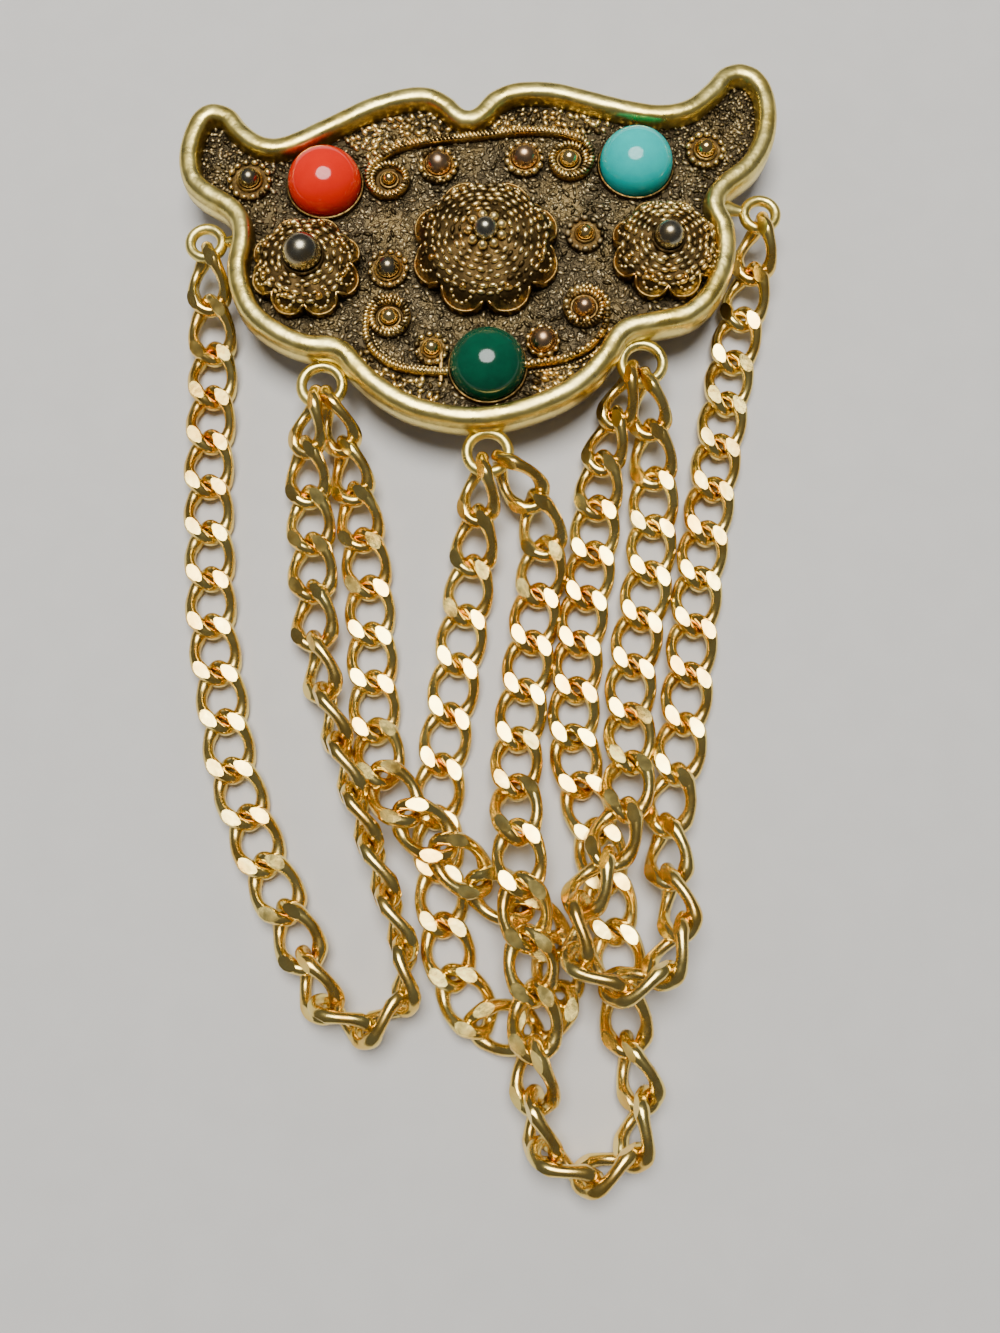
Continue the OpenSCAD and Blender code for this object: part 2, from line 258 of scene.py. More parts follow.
# Rows of grains along lines: each grain is a small ellipsoid turned with its line
def grainRowTree():
    tree, given = newTree("grain rows", {
        "Spacing": "Float", "Grain Length": "Float", "Grain Width": "Float", "Grain Height": "Float",
        "Slant": "Float", "Unevenness": "Float", "Seed": "Int", "On Every Point": "Bool"})
    line = addNode(tree, "GeometryNodeMeshToCurve", {"Mesh": given["Geometry"]})
    even = addNode(tree, "GeometryNodeResampleCurve", {"Curve": line, "Length": given["Spacing"]}, mode="LENGTH")
    spaced = addNode(tree, "GeometryNodeSwitch", {"Switch": given["On Every Point"], "False": even, "True": line},
                     input_type="GEOMETRY")
    tangent = addNode(tree, "GeometryNodeInputTangent")
    turned = addNode(tree, "FunctionNodeAlignRotationToVector", {"Vector": tangent}, axis="X")
    rotated = addNode(tree, "FunctionNodeRotateRotation", {0: turned, 1: turnNode(tree, given["Slant"])},
                      rotation_space="LOCAL")
    low, high = [mathNode(tree, way, 1.0, given["Unevenness"]) for way in ("SUBTRACT", "ADD")]
    spread = addNode(tree, "FunctionNodeRandomValue", {2: low, 3: high, "Seed": given["Seed"]}, 1)
    shape, scale = grainShape(tree, [given["Grain " + way] for way in ("Length", "Width", "Height")], spread, 2)
    return closeTree(tree, spaced, shape, rotated, given["Finish"], scale)


# Seeds strewn over a surface at a least distance, each turned its own way
def seedTree():
    tree, given = newTree("strewn seeds", {
        "Least Distance": "Float", "Seed Length": "Float", "Seed Width": "Float", "Seed Height": "Float",
        "Detail": "Int", "Seed": "Int"})
    strewn = addNode(tree, "GeometryNodeDistributePointsOnFaces",
                     {"Mesh": given["Geometry"], "Distance Min": given["Least Distance"], "Density Max": 9e6,
                      "Seed": given["Seed"]}, distribute_method="POISSON")
    turn = addNode(tree, "FunctionNodeRandomValue", {2: 0.0, 3: 6.283, "Seed": given["Seed"]}, 1)
    spread = addNode(tree, "FunctionNodeRandomValue", {2: 0.75, 3: 1.2, "Seed": given["Seed"]}, 1)
    shape, scale = grainShape(tree, [given["Seed " + way] for way in ("Length", "Width", "Height")], spread,
                              given["Detail"])
    return closeTree(tree, strewn, shape, turnNode(tree, turn), given["Finish"], scale)


# One link for each point, turned by the point's own attribute
def linkTree():
    tree, given = newTree("curb links", {"Link": "Object"})
    pattern = addNode(tree, "GeometryNodeObjectInfo", {"Object": given["Link"]}, "Geometry")
    turn = addNode(tree, "GeometryNodeInputNamedAttribute", {"Name": "linkTurn"}, data_type="FLOAT_VECTOR")
    rotation = addNode(tree, "FunctionNodeEulerToRotation", {0: turn})
    return closeTree(tree, given["Geometry"], pattern, rotation, given["Finish"])


grainRows, strewnSeeds, curbLinks = grainRowTree(), seedTree(), linkTree()


# Gives a tree's named inputs their values, and keeps the result as a plain mesh
def growNodes(piece, tree, values):
    modifier = piece.modifiers.new(tree.name, "NODES")
    modifier.node_group = tree
    for item in tree.interface.items_tree:
        if item.in_out == "INPUT" and item.name in values:
            modifier[item.identifier] = values[item.name]
    depsgraph = bpy.context.evaluated_depsgraph_get()
    grown = bpy.data.meshes.new_from_object(piece.evaluated_get(depsgraph), depsgraph=depsgraph)
    piece.modifiers.remove(modifier)
    old = piece.data
    piece.data = grown
    bpy.data.meshes.remove(old)
    grown.name = piece.name


# How evenly the grains are rubbed: fine and broad noise, and how far down each one is bright
rubbing = {"even": 0.72, "fine": 1.1, "fineScale": 1.6, "broad": 0.7, "broadScale": 0.4, "least": 0.15,
           "reach": 1.5, "foot": 0.35}


# Grains of one detail share a vertex count, so each one's own height tells top from foot
def wearOfGrains(mesh, detail=2):
    perGrain = {1: 12, 2: 42}[detail]
    places = np.zeros(len(mesh.vertices) * 3, np.float32)
    mesh.vertices.foreach_get("co", places)
    places = places.reshape(-1, perGrain, 3)
    heights = places[:, :, 2]
    low, high = heights.min(axis=1, keepdims=True), heights.max(axis=1, keepdims=True)
    middles = [Vector(m) for m in (places.mean(axis=1) / mm).tolist()]
    rubbed = np.array([rubbing["even"] + rubbing["fine"] * noise.noise(m * rubbing["fineScale"])
                       + rubbing["broad"] * noise.noise(m * rubbing["broadScale"]) for m in middles])
    bright = np.clip((heights - low) / (high - low) * rubbing["reach"] - rubbing["foot"], 0, 1)
    wearAndShadeValues = bright * np.clip(rubbed, rubbing["least"], 1)[:, None]
    writeWearAndShade(mesh, wearAndShadeValues.astype(np.float32).ravel())


# Grows rows of grains on lines, each line given with whether it is closed
def grainPiece(name, lines, grain, finish):
    spacing, length, width, height, slant, unevenness, seed = grain
    points, edges = [], []
    for line, closed in lines:
        first = len(points)
        points += line
        edges += [(first + i, first + i + 1) for i in range(len(line) - 1)]
        if closed:
            edges.append((first + len(line) - 1, first))
    piece = plainObject(name, [toFrame @ p for p in points], edges)
    growNodes(piece, grainRows, {
        "Spacing": spacing * mm, "Grain Length": length * mm, "Grain Width": width * mm, "Grain Height": height * mm,
        "Slant": math.radians(slant), "Unevenness": unevenness, "Seed": seed, "On Every Point": spacing == 0,
        "Finish": finish})
    wearOfGrains(piece.data)
    settle(piece)


# Materials, all on Object coordinates in metres
def newFinish(name):
    material = bpy.data.materials.new(name)
    material.use_nodes = True
    nodes = material.node_tree.nodes
    place = nodes.new("ShaderNodeTexCoord").outputs["Object"]
    return material, material.node_tree, nodes["Principled BSDF"].inputs, place


def noiseNode(tree, place, size, detail=3.0, roughness=0.55):
    return addNode(tree, "ShaderNodeTexNoise",
                   {"Vector": place, "Scale": 1 / (size * mm), "Detail": detail, "Roughness": roughness})


def rangeNode(tree, value, low, high, toLow, toHigh, **settings):
    return addNode(tree, "ShaderNodeMapRange", {0: value, 1: low, 2: high, 3: toLow, 4: toHigh}, **settings)


def mixNode(tree, factor, first, second):
    first, second = [(*colour, 1) if isinstance(colour, tuple) else colour for colour in (first, second)]
    return addNode(tree, "ShaderNodeMix", {0: factor, 6: first, 7: second}, 2, data_type="RGBA")


def bumpNode(tree, height, strength, depth, **below):
    return addNode(tree, "ShaderNodeBump", {"Height": height, "Strength": strength, "Distance": depth * mm, **below})


# Gold plate: bright where it is rubbed, a second tint in broad patches, and dark where the wear-and-shade attribute is
# low, which is patina in hollows and painted shade where a piece's values paint it
def goldFinish(name, look):
    material, tree, shader, place = newFinish(name)
    patches = rangeNode(tree, noiseNode(tree, place, look["patchSize"], 2.0), 0.42, 0.66, 0, 1)
    bright = mixNode(tree, patches, look["colour"], look["tint"])
    grit = noiseNode(tree, place, look["grainSize"], 4.0, 0.65)
    wearAndShadeValues = addNode(tree, "ShaderNodeAttribute", output="Fac", attribute_name="wear")
    shifted = mathNode(tree, "MULTIPLY_ADD", mathNode(tree, "SUBTRACT", grit, 0.5), look["dirtSpread"], wearAndShadeValues)
    rubbed = rangeNode(tree, shifted, look["dirtFrom"], look["dirtTo"], 0, 1, interpolation_type="SMOOTHSTEP")
    tree.links.new(mixNode(tree, rubbed, look["patinaAndShade"], bright), shader["Base Color"])
    shader["Metallic"].default_value = 1.0
    gloss = rangeNode(tree, noiseNode(tree, place, look["glossSize"]), 0.3, 0.7,
                      look["roughness"] * 0.75, look["roughness"] * 1.35)
    rough = addNode(tree, "ShaderNodeMix", {0: rubbed, 2: look["patinaRoughness"], 3: gloss})
    tree.links.new(rough, shader["Roughness"])
    bump = bumpNode(tree, grit, look["bump"], look["bumpDepth"])
    if "dent" in look:
        bump = bumpNode(tree, noiseNode(tree, place, look["dentSize"], 2.0), 1.0, look["dent"], Normal=bump)
    tree.links.new(bump, shader["Normal"])
    return material


# The ground between the reliefs: a sandy stipple with bright specks on patina, rubbed golden in broad patches, and a
# near-black painted shade where it meets the rim and the reliefs
def groundFinish(name, look):
    material, tree, shader, place = newFinish(name)
    stir = addNode(tree, "ShaderNodeTexNoise", {"Vector": place, "Scale": 1 / (look["stirSize"] * mm), "Detail": 3.0},
                   "Color")
    stirred = addNode(tree, "ShaderNodeVectorMath", {0: stir, 1: (look["stir"] * mm,) * 3, 2: place},
                      operation="MULTIPLY_ADD")
    cells = addNode(tree, "ShaderNodeTexVoronoi",
                    {"Vector": stirred, "Scale": 1 / (look["stippleSize"] * mm)}, "Distance")
    hill = rangeNode(tree, cells, 0.0, 0.7, 1, 0)
    speck = mathNode(tree, "MULTIPLY", hill, noiseNode(tree, place, look["cloudSize"]))
    unshaded = addNode(tree, "ShaderNodeAttribute", output="Fac", attribute_name="wear")
    lit = mathNode(tree, "MULTIPLY", rangeNode(tree, speck, look["speckFrom"], look["speckTo"], 0, 1), unshaded)
    patches = rangeNode(tree, noiseNode(tree, place, look["patchSize"], 2.0), 0.46, 0.62, 0, 1)
    dull = mixNode(tree, patches, look["patinaAndShade"], look["rubbed"])
    # painted shade: the near-black colour where the ground meets the rim and the reliefs
    base = mixNode(tree, unshaded, look["paintedShade"], dull)
    tree.links.new(mixNode(tree, lit, base, look["colour"]), shader["Base Color"])
    shader["Metallic"].default_value = 1.0
    tree.links.new(rangeNode(tree, lit, 0, 1, look["patinaRoughness"], look["roughness"]), shader["Roughness"])
    tree.links.new(bumpNode(tree, hill, 1.0, look["bumpDepth"]), shader["Normal"])
    return material


def stoneFinish(name, look):
    material, tree, shader, place = newFinish(name)
    cloud = rangeNode(tree, noiseNode(tree, place, look["cloudSize"], 4.0), 0.35, 0.7, 0, 1)
    tree.links.new(mixNode(tree, cloud, look["colour"], look["shade"]), shader["Base Color"])
    gloss = rangeNode(tree, noiseNode(tree, place, look["glossSize"]), 0.3, 0.7,
                      look["roughness"] * 0.8, look["roughness"] * 1.3)
    tree.links.new(gloss, shader["Roughness"])
    for label, value in (("Subsurface Weight", look["depth"]), ("Subsurface Radius", (1.0, 0.8, 0.7)),
                         ("Subsurface Scale", 0.6 * mm), ("Specular IOR Level", look["specular"]),
                         ("Coat Weight", look["coat"]), ("Coat Roughness", 0.06)):
        shader[label].default_value = value
    tree.links.new(bumpNode(tree, noiseNode(tree, place, look["bumpSize"]), 0.25, look["bumpDepth"]), shader["Normal"])
    return material


castLook = {"colour": (0.82, 0.54, 0.16), "tint": (0.66, 0.34, 0.08), "patinaAndShade": (0.075, 0.046, 0.016),
            "patchSize": 2.2, "grainSize": 0.32, "glossSize": 0.8, "dirtSpread": 0.7, "dirtFrom": 0.22, "dirtTo": 0.78,
            "roughness": 0.28, "patinaRoughness": 0.5, "bump": 0.5, "bumpDepth": 0.05}
grainLook = {**castLook, "colour": (0.98, 0.76, 0.33), "tint": (0.90, 0.60, 0.20), "roughness": 0.33,
             "dirtFrom": 0.1, "dirtTo": 0.6, "bump": 0.2}
gritLook = {**castLook, "colour": (0.58, 0.46, 0.24), "tint": (0.42, 0.30, 0.14), "patinaAndShade": (0.07, 0.05, 0.022),
            "roughness": 0.5, "dirtFrom": 0.2, "dirtTo": 0.9, "bump": 0.3}
rimLook = {"colour": (1.0, 0.83, 0.27), "tint": (0.95, 0.72, 0.17), "patinaAndShade": (0.24, 0.16, 0.035),
           "patchSize": 3.5, "grainSize": 0.6, "glossSize": 1.6, "dirtSpread": 0.5, "dirtFrom": 0.0, "dirtTo": 0.62,
           "roughness": 0.31, "patinaRoughness": 0.4, "bump": 0.25, "bumpDepth": 0.03, "dent": 0.07, "dentSize": 1.3}
beadLook = {**rimLook, "colour": (0.90, 0.66, 0.25), "tint": (0.80, 0.52, 0.16), "roughness": 0.17, "dent": 0.02}
backLook = {**rimLook, "colour": (0.78, 0.62, 0.34), "tint": (0.66, 0.50, 0.26), "roughness": 0.36, "dirtTo": 0.5,
            "dent": 0.05, "dentSize": 2.4}
chainLook = {"colour": (0.99, 0.77, 0.24), "tint": (0.95, 0.60, 0.13), "patinaAndShade": (0.42, 0.20, 0.035),
             "patchSize": 3.0, "grainSize": 0.5, "glossSize": 1.2, "dirtSpread": 0.7, "dirtFrom": 0.1, "dirtTo": 0.8,
             "roughness": 0.2, "patinaRoughness": 0.4, "bump": 0.1, "bumpDepth": 0.01, "dent": 0.02, "dentSize": 1.4}
pinLook = {**rimLook, "colour": (0.82, 0.66, 0.38), "tint": (0.72, 0.55, 0.30), "roughness": 0.28}
ballLook = {"colour": (0.30, 0.28, 0.21), "tint": (0.36, 0.28, 0.15), "patinaAndShade": (0.05, 0.04, 0.025),
            "patchSize": 1.5, "grainSize": 0.4, "glossSize": 0.9, "dirtSpread": 0.3, "dirtFrom": -0.2, "dirtTo": 0.4,
            "roughness": 0.24, "patinaRoughness": 0.3, "bump": 0.1, "bumpDepth": 0.015}
copperLook = {**ballLook, "colour": (0.56, 0.36, 0.20), "tint": (0.46, 0.27, 0.14), "patinaAndShade": (0.12, 0.07, 0.035),
              "roughness": 0.28}
groundLook = {"colour": (0.60, 0.48, 0.27), "patinaAndShade": (0.108, 0.082, 0.044), "paintedShade": (0.024, 0.017, 0.009),
              "rubbed": (0.28, 0.20, 0.085), "patchSize": 5.0, "stippleSize": 0.46, "stirSize": 0.8, "stir": 1.6,
              "cloudSize": 1.4, "speckFrom": 0.2, "speckTo": 0.44, "roughness": 0.36, "patinaRoughness": 0.5,
              "bumpDepth": 0.14}
coralLook = {"colour": (0.90, 0.014, 0.0), "shade": (0.83, 0.010, 0.0), "cloudSize": 2.5, "depth": 0.0, "coat": 0.0,
             "roughness": 0.1, "specular": 0.5, "glossSize": 0.9, "bumpSize": 0.5, "bumpDepth": 0.01}
turquoiseLook = {**coralLook, "colour": (0.0, 0.62, 0.58), "shade": (0.0, 0.53, 0.51), "cloudSize": 2.0, "depth": 0.05}
jadeLook = {**coralLook, "colour": (0.0004, 0.085, 0.040), "shade": (0.0003, 0.055, 0.027), "cloudSize": 2.2,
            "depth": 0.08, "coat": 0.05}

castGold = goldFinish("antique cast gold", castLook)
grainGold = goldFinish("rubbed granule gold", grainLook)
gritGold = goldFinish("dull grit gold", gritLook)
rimGold = goldFinish("pale rim gold", rimLook)
backGold = goldFinish("satin back gold", backLook)
chainGold = goldFinish("bright chain gold", chainLook)
pinMetal = goldFinish("satin pin metal", pinLook)
ballMetal = goldFinish("dark polished ball", ballLook)
beadGold = goldFinish("polished bead gold", beadLook)
copperBall = goldFinish("copper brown ball", copperLook)
groundMetal = groundFinish("stippled ground", groundLook)
print("finishes made")


# The cast plaque: back, rim and ground in one shell
plaque = {
    "curveSteps": 7, "unevenness": 0.035, "groundStep": 0.5,
    # outer edge seen from above, clockwise from the tip of the left horn
    "edge": [(-25.7, 47.6), (-23.7, 47), (-22.3, 45.3), (-20.5, 44), (-18.5, 44.2), (-14.7, 46.2), (-11, 48.2),
             (-7.5, 49.3), (-5, 49.3), (-3, 48.2), (-1.4, 46.9), (0.5, 48.8), (3, 49.9), (6.7, 49.9), (10.4, 48.9),
             (14, 47.9), (17, 47.5), (19.2, 48.1), (21.1, 49.8), (22.5, 51.4), (24.4, 52), (26.3, 51.2), (27.5, 49.2),
             (27.8, 46.2), (27.2, 43.2), (25.6, 40.4), (23.1, 38.2), (22.5, 36.9), (23.2, 35), (23.3, 32.3),
             (22.7, 29.6), (21.2, 26.8), (19, 24.9), (16, 24.1), (13.4, 23.4), (12, 21.3), (10.1, 19), (7.5, 17.1),
             (4, 15.6), (0.5, 14.8), (-3, 14.9), (-7, 16), (-10.3, 18.1), (-12.3, 20.1), (-13.6, 21.5), (-16.2, 21.8),
             (-19, 23), (-21.6, 25.1), (-23, 27.6), (-23.6, 30.5), (-23.3, 33.8), (-24, 35.7), (-26.6, 37.5),
             (-28.1, 39.2), (-28.7, 41.9), (-28.3, 44.7), (-27.3, 46.8)],
    # rim section: inset from the edge, height
    "section": [(0.35, 3.2), (0.12, 3.3), (0.0, 3.6), (0.0, 4.6), (0.02, 5.1), (0.09, 5.5), (0.25, 5.84), (0.5, 6.06),
                (0.8, 6.14), (1.1, 6.17), (1.4, 6.14), (1.67, 6.02), (1.85, 5.74), (1.95, 5.34),
                (2.0, 4.9), (2.04, 4.6)],
}
stonePlaces = {"coral": (-14.9, 39.4), "turquoise": (14.3, 41.5), "jade": (0.4, 20.9)}


def insetLoop(outline, distance):
    n = len(outline)
    flat = np.array([[p.x, p.y] for p in outline])
    ways = np.roll(flat, -1, 0) - np.roll(flat, 1, 0)
    ways /= np.linalg.norm(ways, axis=1, keepdims=True)
    moved = flat + np.stack([ways[:, 1], -ways[:, 0]], 1) * distance
    gaps = np.sqrt(((moved[:, None, :] - flat[None, :, :]) ** 2).sum(2)).min(1)
    order = [i for i in range(n) if gaps[i] > distance - 0.04]
    for a, b in zip(order, order[1:] + [order[0] + n]):     # a straight line where the inset would fold over itself
        for i in range(a + 1, b):
            t = (i - a) / (b - a)
            moved[i % n] = moved[a] * (1 - t) + moved[b % n] * t
    return [Vector((x, y, 0)) for x, y in moved]


outline = closedCurve(plaque["edge"], plaque["curveSteps"])
bm = bmesh.new()
rings = []
for inset, height in plaque["section"]:
    ring = []
    for p in insetLoop(outline, inset) if inset > 0 else outline:
        rough = noise.noise(Vector((p.x, p.y, height)) * 0.9) * plaque["unevenness"] * (height > 3.4)
        ring.append(bm.verts.new((p.x, p.y, height + rough)))
    rings.append(ring)
bridgeRings(bm, rings, capEnds=False)
backFace = bm.faces.new(rings[0])
backFace.material_index = 1
bmesh.ops.triangulate(bm, faces=[backFace])

# The ground is a grid of triangles that joins the rim's inner ring
inner = [Vector((v.co.x, v.co.y)) for v in rings[-1]]
step = plaque["groundStep"]
grid = [Vector((step * i, step * j)) for i in range(int(-28 / step), int(28 / step))
        for j in range(int(15 / step), int(52 / step))]
innerEdges = [(i, (i + 1) % len(inner)) for i in range(len(inner))]
spots, _, faces, origins, _, _ = geometry.delaunay_2d_cdt(inner + grid, innerEdges, [], 1, 1e-4)
groundVerts = {}
for face in faces:
    for i in face:
        if i not in groundVerts:
            onRim = [k for k in origins[i] if k < len(inner)]
            groundVerts[i] = rings[-1][onRim[0]] if onRim else bm.verts.new((spots[i].x, spots[i].y, fieldZ))
    bm.faces.new([groundVerts[i] for i in face]).material_index = 2

# Where the ground and the rim are painted with shade, and how the rim's patina rises
patinaAndShade = {
    "reach": 0.7, "rimShare": 0.5, "lineHalf": 0.2, "lineShare": 1.4,
    # middle and radius of what stands on the ground, which the ground is painted with shade around
    "rounds": [(-16.3, 30.6, 4.7), (0.2, 32.65, 6.5), (16.8, 32.4, 4.7), (-14.9, 39.4, 3.5), (14.3, 41.5, 3.5),
               (0.4, 20.9, 3.5), (-22, 39.8, 1.9), (20.9, 43, 1.7), (-8.8, 30.6, 1.8), (9.4, 34.2, 1.7),
               (-4.3, 41.4, 1.7), (3.8, 42.1, 1.7), (-4.7, 22.6, 1.5), (5.4, 23.3, 1.5), (-8.9, 39.9, 1.9),
               (8, 42, 1.9), (-8.6, 25.7, 1.9), (9.2, 26.7, 1.9)],
    "lines": [[(-9.8, 41.4), (-9, 42.4), (-8, 43.2), (-6.5, 43.6), (-5, 43.9), (-3, 44.2), (-1, 44.4), (1, 44.7),
               (3, 44.9), (5, 45), (6.5, 44.9)],
              [(-10.4, 23.8), (-10.1, 22.8), (-9.4, 21.8), (-8.6, 21.2), (-7.6, 20.7), (-6.3, 20.4), (-5, 20.3)],
              [(10.9, 24.4), (10.3, 23.5), (9.5, 22.7), (8.5, 22.1), (7.4, 21.6), (6.4, 21.3), (5.4, 21.2)]],
    # the rim rises from dark to bright, with painted shade along the foot of its inner wall, and its inner wall is
    # rubbed bright towards the right horn
    "rise": 0.46, "rimFoot": 0.02, "wallShare": 0.1, "wallReach": 0.45,
    "wallLeft": 0.1, "wallRight": 0.32, "wallFrom": 2, "wallOver": 12, "outside": 0.05, "outsideRise": 0.11,
}


# The ground is darkened with painted shade where it meets the rim, a dome, a stone, a rosette or a ribbon
def paintedGroundShade(co):
    here = Vector((co.x, co.y))
    gaps = [math.hypot(co.x - x, co.y - y) - r for x, y, r in patinaAndShade["rounds"]]
    gaps += [min((here - p).length for p in inner[::2]) * patinaAndShade["rimShare"]]
    gaps += [(min(math.hypot(co.x - x, co.y - y) for x, y in line) - patinaAndShade["lineHalf"]) * patinaAndShade["lineShare"]
             for line in patinaAndShade["lines"]]
    return 1 - math.exp(-max(0, min(gaps)) / patinaAndShade["reach"])


# The rim darkens from its crest down its walls, with painted shade at its inner wall's foot; the ground gets its
# painted shade; the outer wall is darker towards the back
def shellWearAndShade(co):
    if co.z > fieldZ + 0.1:
        gap = min(math.hypot(co.x - p.x, co.y - p.y) for p in inner)
        rightward = min(1, max(0, (co.x - patinaAndShade["wallFrom"]) / patinaAndShade["wallOver"]))
        bright = patinaAndShade["wallLeft"] + patinaAndShade["wallRight"] * rightward
        rubbed = (co.z - fieldZ) * patinaAndShade["rise"] - patinaAndShade["rimFoot"]
        return max(rubbed * min(1, patinaAndShade["wallShare"] + gap / patinaAndShade["wallReach"]), bright)
    return paintedGroundShade(co) if co.z > 4.5 else patinaAndShade["outside"] + (co.z - backZ) * patinaAndShade["outsideRise"]


finishPiece("plaque_shell", bm, [rimGold, backGold, groundMetal], shellWearAndShade, 50)


# The three petalled domes
domes = {
    "petals": 8, "lobe": 0.33, "sides": 96, "rings": 22, "body": 0.9, "shoulder": 0.9, "groove": 0.16, "foot": 0.2,
    "skirt": 0.45, "skirtRise": 0.75, "grainPitch": 0.86, "rowStray": 0.26, "edgeWire": 0.12, "petalBall": 0.32,
    "beadCircle": 1.52, "bead": 0.44,
    # place, radius, height, ball radius, distances of the rows of grains, and beads round the ball
    "left": {"at": (-16.3, 30.6), "radius": 5.2, "height": 2.6, "ball": 1.72, "rows": [2.2, 2.8, 3.4, 4.0]},
    "middle": {"at": (0.2, 32.65), "radius": 7.05, "height": 3.2, "ball": 1.1,
               "rows": [2.35, 2.98, 3.6, 4.23, 4.85, 5.48], "beads": 9},
    "right": {"at": (16.8, 32.4), "radius": 5.2, "height": 2.6, "ball": 1.32, "rows": [1.9, 2.45, 3.0, 3.55, 4.1]},
    # grains: spacing (0: one on each point), length, width, height, slant, unevenness and seed
    "grain": (0, 0.76, 0.4, 0.46, 0, 0.24, 11), "lobeGrain": (0.5, 0.44, 0.34, 0.34, 0, 0.15, 12),
}
petalStep = 2 * math.pi / domes["petals"]


# An angle counted from the middle of its petal
def petalOff(angle):
    return (angle - math.pi / 2) % petalStep - petalStep / 2


# Height of a dome's skin above the ground at a distance and angle from its middle
def domeHeight(dome, distance, angle):
    r, h, off = dome["radius"], dome["height"], petalOff(angle)
    body, lobe, shoulder = domes["body"] * r, domes["lobe"] * r, domes["shoulder"]
    cap = skirt = domes["foot"]
    if distance < body:
        groove = domes["groove"] * (1 - abs(math.cos(off * math.pi / petalStep))) * min(1, distance / (0.5 * r))
        cap = shoulder + (h - shoulder) * math.sqrt(max(0, 1 - (distance / body) ** 2)) - groove * 2
    gap = math.hypot(distance * math.cos(off) - (r - lobe), distance * math.sin(off))
    if gap < lobe:
        skirt = domes["skirt"] + domes["skirtRise"] * math.sqrt(max(0, 1 - (gap / lobe) ** 2))
    return max(cap, skirt)


# How far a dome reaches at an angle
def domeReach(dome, angle):
    off, lobe = petalOff(angle), domes["lobe"] * dome["radius"]
    middle = dome["radius"] - lobe
    return middle * math.cos(off) + math.sqrt(max(0.02, lobe ** 2 - (middle * math.sin(off)) ** 2))


# A ring of a dome at a share of its reach: on its skin, or at a height of its own
def domeRing(bm, dome, share, height=None):
    ring = []
    for a in turns(domes["sides"]):
        far = share * domeReach(dome, a)
        lift = domeHeight(dome, far, a) if height is None else height
        ring.append(bm.verts.new((*polar(*dome["at"], far, a), fieldZ + lift)))
    return ring


# An arc of points on a dome's skin about a petal's angle, lifted a little
def arcOnDome(dome, x, y, radius, count, angle, sweep, lift, ceiling=math.inf):
    arc = ringPoints(x, y, 0, radius, count, math.degrees(angle) - sweep / 2, sweep)
    for p in arc:
        across, up = p.x - dome["at"][0], p.y - dome["at"][1]
        p.z = fieldZ + min(domeHeight(dome, math.hypot(across, up), math.atan2(up, across)), ceiling) + lift
    return arc


domeLines, lobeLines, wires = [], [], bmesh.new()
for side in ("left", "middle", "right"):
    dome = domes[side]
    (x, y), r, h, ball = dome["at"], dome["radius"], dome["height"], dome["ball"]
    lobe = domes["lobe"] * r
    bm = bmesh.new()
    rings = [domeRing(bm, dome, k / domes["rings"]) for k in range(1, domes["rings"] + 1)]
    rings += [domeRing(bm, dome, 0.995, 0.1), domeRing(bm, dome, 0.93, -sunk)]     # the skirt's edge, tucked in under
    bridgeRings(bm, rings, capEnds=False)
    top = bm.verts.new((x, y, fieldZ + domeHeight(dome, 0, 0)))
    for here, ahead in zip(rings[0], rings[0][1:] + rings[0][:1]):
        bm.faces.new((here, ahead, top))
    bm.faces.new(rings[-1])
    for a in [math.pi / 2 + turn for turn in turns(domes["petals"], 0.5)]:
        # each petal's raised edge, a ball on it and an arc of granules round the ball
        petalX, petalY = polar(x, y, r - lobe, a)
        edge = arcOnDome(dome, petalX, petalY, lobe * 0.93, 22, a, 210, 0.02, 1.3)
        addWire(wires, edge, domes["edgeWire"], 7)
        ballX, ballY = polar(petalX, petalY, lobe * 0.24, a)
        lift = domeHeight(dome, math.hypot(ballX - x, ballY - y), a)
        addBall(wires, ballX, ballY, fieldZ + lift + 0.06, domes["petalBall"], 7, 12)
        lobeLines.append((arcOnDome(dome, ballX, ballY, lobe * 0.46, 14, a, 220, 0.04), False))
    for row, distance in enumerate(dome["rows"]):
        line = []
        for a in turns(round(2 * math.pi * distance / domes["grainPitch"]), 0.5 * (row % 2)):
            far = distance + domes["rowStray"] * noise.noise(Vector((distance * 1.7, a * 4.3, r)))
            line.append(Vector((*polar(x, y, far, a), fieldZ + domeHeight(dome, far, a) + 0.05)))
        domeLines.append((line, True))
    addWire(bm, ringPoints(x, y, fieldZ + h - 0.04, ball + 0.1, 40), 0.16, 8, closed=True)
    # Painted shadow: each dome's foot under its skirt is near black; the skirt is a lighter tone, the body a darker
    # one
    finishPiece("dome_" + side, bm, [castGold],
                lambda co: 0.05 if co.z < fieldZ + 0.35 else 0.46 if co.z < fieldZ + 1.25 else 0.22, 45)
    bm = bmesh.new()
    addBall(bm, x, y, fieldZ + h + 0.28 * ball, ball, 16, 32)
    finishPiece("dome_ball_" + side, bm, [ballMetal], lambda co: (co.z - fieldZ - h + 0.2) * 1.2)
    if "beads" in dome:
        bm = bmesh.new()
        for a in turns(dome["beads"], 0.5):
            addBall(bm, *polar(x, y, domes["beadCircle"], a), fieldZ + h + 0.14, domes["bead"], 9, 16)
        finishPiece("dome_beads_" + side, bm, [grainGold], lambda co: (co.z - fieldZ - h + 0.5) * 1.1)
finishPiece("petal_edges", wires, [castGold], lambda co: (co.z - fieldZ) * 0.55)
grainPiece("dome_grains", domeLines, domes["grain"], grainGold)
grainPiece("lobe_grains", lobeLines, domes["lobeGrain"], grainGold)


